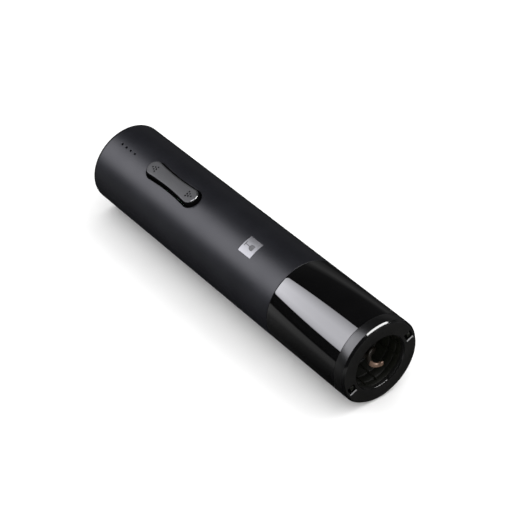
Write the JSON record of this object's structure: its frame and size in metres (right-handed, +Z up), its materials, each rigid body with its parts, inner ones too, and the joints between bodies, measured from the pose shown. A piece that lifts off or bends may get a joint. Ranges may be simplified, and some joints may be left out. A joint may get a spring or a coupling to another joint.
{
  "type": "electric wine opener",
  "caption": "Cordless electric wine opener: a long round body with a rocker button, a smoked cork window and a mouth ring around a motor-driven worm, lying on its side.",
  "frame": {"origin": "middle of the bounding box's base, on the surface the opener lies on", "axes": "+X along the body and out of the mouth, +Y across, +Z up; the button leans 24.3 degrees from +Z towards -Y"},
  "size_m": [0.223, 0.049, 0.0512],
  "materials": {
    "satin_black_plastic": "satin moulded",
    "smoked_window_plastic": "polished, smoked",
    "body_soft_touch_plastic": "fine matt",
    "gloss_black_plastic": "polished",
    "button_grey_plastic": "fine spark-eroded texture",
    "clear_light_pipe_plastic": "frosted clear",
    "badge_silver": "satin",
    "chassis_plastic": "moulded",
    "gear_acetal_plastic": "moulded",
    "steel": "plated",
    "coated_worm_steel": "non-stick coating",
    "bronze": "turned",
    "black_rubber": "moulded",
    "winding_copper": "enamelled windings on a laminated core",
    "magnet_ferrite": "ground",
    "board_laminate": "solder mask",
    "cell_wrap": "shrink sleeve",
    "red_lead_insulation": "flexible",
    "black_lead_insulation": "flexible"
  },
  "bodies": {
    "housing": {"mouth_collar": "satin_black_plastic", "bottle_guide": "satin_black_plastic", "rear_cap": "satin_black_plastic", "window_tube": "smoked_window_plastic", "housing_tube": "body_soft_touch_plastic", "switch_bezel": "gloss_black_plastic", "motor_end_cap": "gloss_black_plastic", "light_pipe": "clear_light_pipe_plastic", "badge_plate": "badge_silver", "front_bulkhead": "chassis_plastic", "gearbox_cover": "chassis_plastic", "chassis_lower": "chassis_plastic", "chassis_upper": "chassis_plastic", "gearbox_ring": "gear_acetal_plastic", "rocker_pin": "steel", "motor_plate": "steel", "motor_can": "steel", "motor_screw_1": "steel", "motor_screw_2": "steel", "cell_link": "steel", "push_switch_1": "steel", "push_switch_2": "steel", "charging_socket": "steel", "chassis_screw_1": "steel", "chassis_screw_2": "steel", "chassis_screw_3": "steel", "chassis_screw_4": "steel", "shaft_bush": "bronze", "bottle_seat_ring": "black_rubber", "shaft_seal": "black_rubber", "motor_magnet_1": "magnet_ferrite", "motor_magnet_2": "magnet_ferrite", "control_board": "board_laminate", "battery_cell_1": "cell_wrap", "battery_cell_2": "cell_wrap", "motor_lead_red": "red_lead_insulation", "battery_lead_red": "red_lead_insulation", "motor_lead_black": "black_lead_insulation", "battery_lead_black": "black_lead_insulation"},
    "motor_rotor": {"armature": "winding_copper", "motor_shaft": "steel", "motor_pinion": "bronze"},
    "carrier_1": {"carrier_1": "gear_acetal_plastic"},
    "carrier_2": {"carrier_2": "gear_acetal_plastic"},
    "worm_drive": {"output_carrier": "gear_acetal_plastic", "output_shaft": "steel", "worm_hub": "gloss_black_plastic", "worm": "coated_worm_steel"},
    "rocker_button": {"rocker_button": "button_grey_plastic"},
    "switch_plunger_1": {"switch_plunger_1": "gloss_black_plastic"},
    "switch_plunger_2": {"switch_plunger_2": "gloss_black_plastic"},
    "planet_gear_1a": {"planet_gear_1a": "gear_acetal_plastic"},
    "planet_gear_1b": {"planet_gear_1b": "gear_acetal_plastic"},
    "planet_gear_1c": {"planet_gear_1c": "gear_acetal_plastic"},
    "planet_gear_2a": {"planet_gear_2a": "gear_acetal_plastic"},
    "planet_gear_2b": {"planet_gear_2b": "gear_acetal_plastic"},
    "planet_gear_2c": {"planet_gear_2c": "gear_acetal_plastic"},
    "planet_gear_3a": {"planet_gear_3a": "gear_acetal_plastic"},
    "planet_gear_3b": {"planet_gear_3b": "gear_acetal_plastic"},
    "planet_gear_3c": {"planet_gear_3c": "gear_acetal_plastic"}
  },
  "joints": [
    {"name": "motor_spin", "type": "hinge", "parent": "housing", "child": "motor_rotor", "pos_m": [-0.0135, 0, 0.0245], "axis": [1, 0, 0], "continuous": true},
    {"name": "carrier_1_spin", "type": "hinge", "parent": "housing", "child": "carrier_1", "pos_m": [0.0065, 0, 0.0245], "axis": [1, 0, 0], "continuous": true},
    {"name": "carrier_2_spin", "type": "hinge", "parent": "housing", "child": "carrier_2", "pos_m": [0.0135, 0, 0.0245], "axis": [1, 0, 0], "continuous": true},
    {"name": "worm_spin", "type": "hinge", "parent": "housing", "child": "worm_drive", "pos_m": [0.0315, 0, 0.0245], "axis": [1, 0, 0], "continuous": true},
    {"name": "planet_1a_spin", "type": "hinge", "parent": "carrier_1", "child": "planet_gear_1a", "pos_m": [0.003, -0.00389, 0.03311], "axis": [1, 0, 0], "continuous": true},
    {"name": "planet_1b_spin", "type": "hinge", "parent": "carrier_1", "child": "planet_gear_1b", "pos_m": [0.003, 0.0094, 0.02356], "axis": [1, 0, 0], "continuous": true},
    {"name": "planet_1c_spin", "type": "hinge", "parent": "carrier_1", "child": "planet_gear_1c", "pos_m": [0.003, -0.00551, 0.01683], "axis": [1, 0, 0], "continuous": true},
    {"name": "planet_2a_spin", "type": "hinge", "parent": "carrier_2", "child": "planet_gear_2a", "pos_m": [0.0101, -0.00389, 0.03311], "axis": [1, 0, 0], "continuous": true},
    {"name": "planet_2b_spin", "type": "hinge", "parent": "carrier_2", "child": "planet_gear_2b", "pos_m": [0.0101, 0.0094, 0.02356], "axis": [1, 0, 0], "continuous": true},
    {"name": "planet_2c_spin", "type": "hinge", "parent": "carrier_2", "child": "planet_gear_2c", "pos_m": [0.0101, -0.00551, 0.01683], "axis": [1, 0, 0], "continuous": true},
    {"name": "planet_3a_spin", "type": "hinge", "parent": "worm_drive", "child": "planet_gear_3a", "pos_m": [0.0172, -0.00389, 0.03311], "axis": [1, 0, 0], "continuous": true},
    {"name": "planet_3b_spin", "type": "hinge", "parent": "worm_drive", "child": "planet_gear_3b", "pos_m": [0.0172, 0.0094, 0.02356], "axis": [1, 0, 0], "continuous": true},
    {"name": "planet_3c_spin", "type": "hinge", "parent": "worm_drive", "child": "planet_gear_3c", "pos_m": [0.0172, -0.00551, 0.01683], "axis": [1, 0, 0], "continuous": true},
    {"name": "rocker_tilt", "type": "hinge", "parent": "housing", "child": "rocker_button", "pos_m": [-0.0523, -0.0086, 0.04355], "axis": [0, 0.9114, 0.4115], "range_deg": [-2.5, 2.5], "stiffness_Nm_per_rad": 0.2},
    {"name": "plunger_1_press", "type": "slide", "parent": "housing", "child": "switch_plunger_1", "axis": [0, 0.4115, -0.9114], "range_m": [0, 0.0003], "stiffness_N_per_m": 200},
    {"name": "plunger_2_press", "type": "slide", "parent": "housing", "child": "switch_plunger_2", "axis": [0, 0.4115, -0.9114], "range_m": [0, 0.0003], "stiffness_N_per_m": 200}
  ],
  "couplings": [
    {"joint": "carrier_1_spin", "follows": "motor_spin", "ratio": 0.22222},
    {"joint": "carrier_2_spin", "follows": "motor_spin", "ratio": 0.049383},
    {"joint": "worm_spin", "follows": "motor_spin", "ratio": 0.010974},
    {"joint": "planet_1a_spin", "follows": "motor_spin", "ratio": -0.62222},
    {"joint": "planet_1b_spin", "follows": "motor_spin", "ratio": -0.62222},
    {"joint": "planet_1c_spin", "follows": "motor_spin", "ratio": -0.62222},
    {"joint": "planet_2a_spin", "follows": "motor_spin", "ratio": -0.13827},
    {"joint": "planet_2b_spin", "follows": "motor_spin", "ratio": -0.13827},
    {"joint": "planet_2c_spin", "follows": "motor_spin", "ratio": -0.13827},
    {"joint": "planet_3a_spin", "follows": "motor_spin", "ratio": -0.030727},
    {"joint": "planet_3b_spin", "follows": "motor_spin", "ratio": -0.030727},
    {"joint": "planet_3c_spin", "follows": "motor_spin", "ratio": -0.030727}
  ]
}
